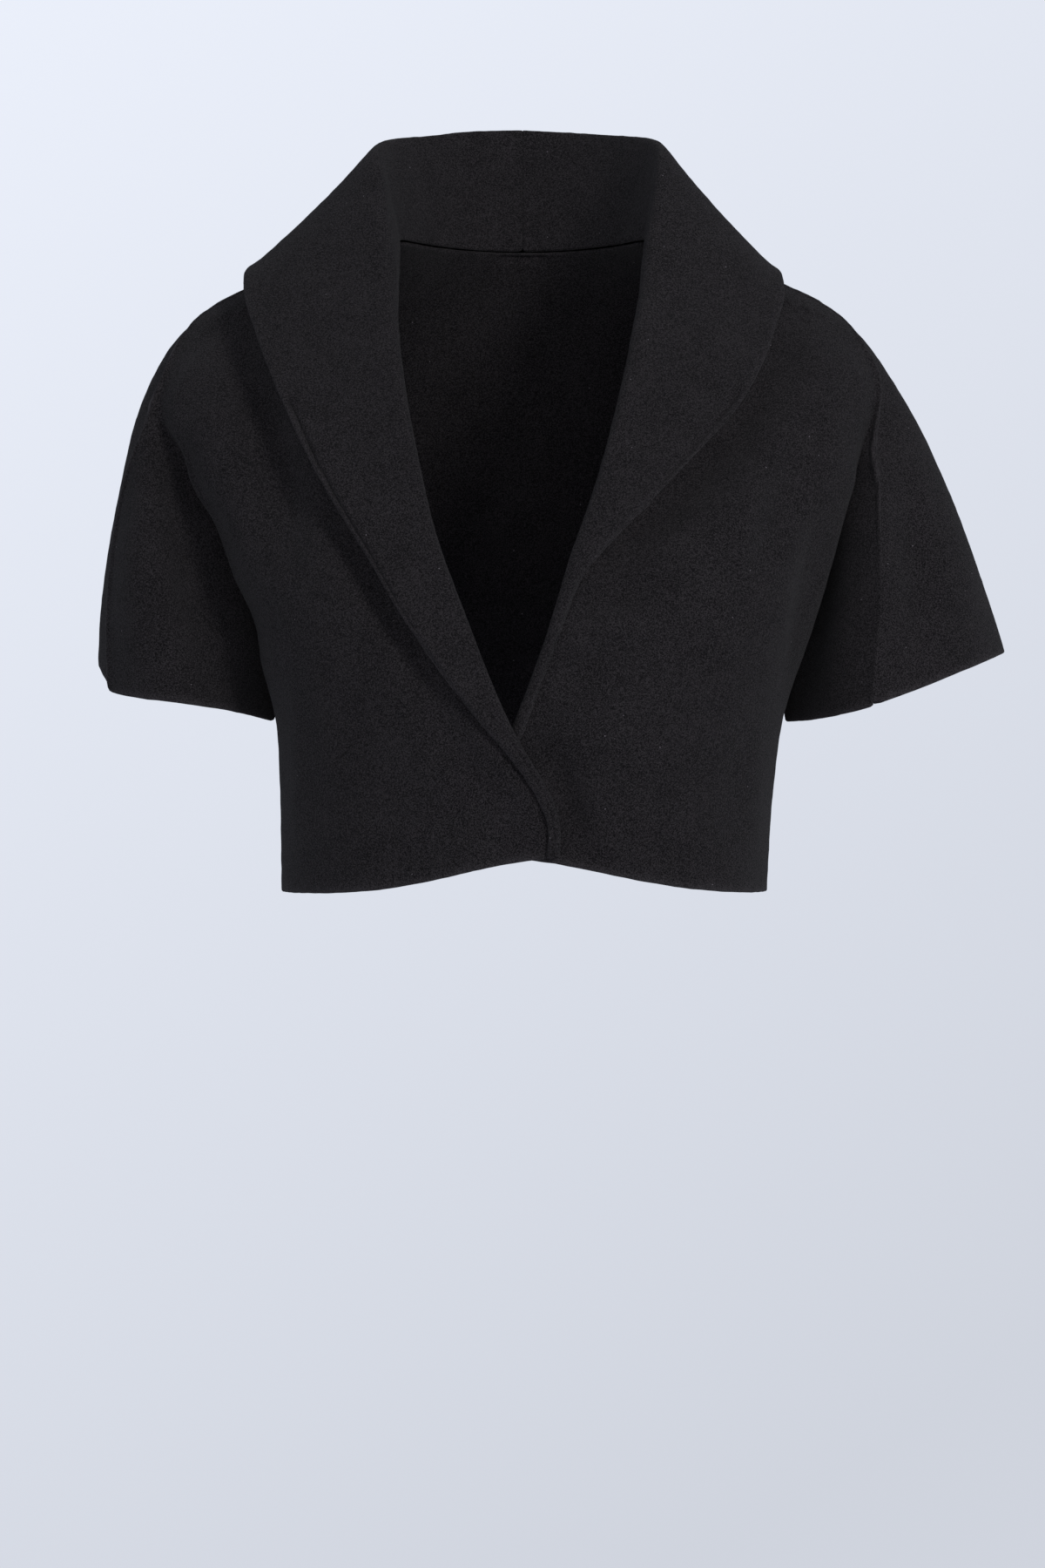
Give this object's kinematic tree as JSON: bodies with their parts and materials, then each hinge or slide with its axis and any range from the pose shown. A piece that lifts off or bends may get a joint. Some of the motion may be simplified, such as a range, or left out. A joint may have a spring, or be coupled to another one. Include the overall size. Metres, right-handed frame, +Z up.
{
  "type": "cropped shawl-collar jacket",
  "caption": "Cropped felted wool jacket in its worn, hollow form, with a wide rolled shawl collar, short cape sleeves and fronts that lap over each other at the hem.",
  "frame": {"origin": "midway between the shoulders, level with the neck ends of the shoulder seams, where the wearer holds the jacket up", "axes": "+Z up along the wearer's neck, the fronts face -Y, +X towards the wearer's left sleeve"},
  "size_m": [0.5527, 0.251, 0.4718],
  "materials": {
    "wool": "soft black felted wool with a short matte nap"
  },
  "bodies": {
    "root": {"back": "wool", "front_right": "wool", "front_left": "wool", "collar_right": "wool", "collar_left": "wool"}
  },
  "joints": []
}
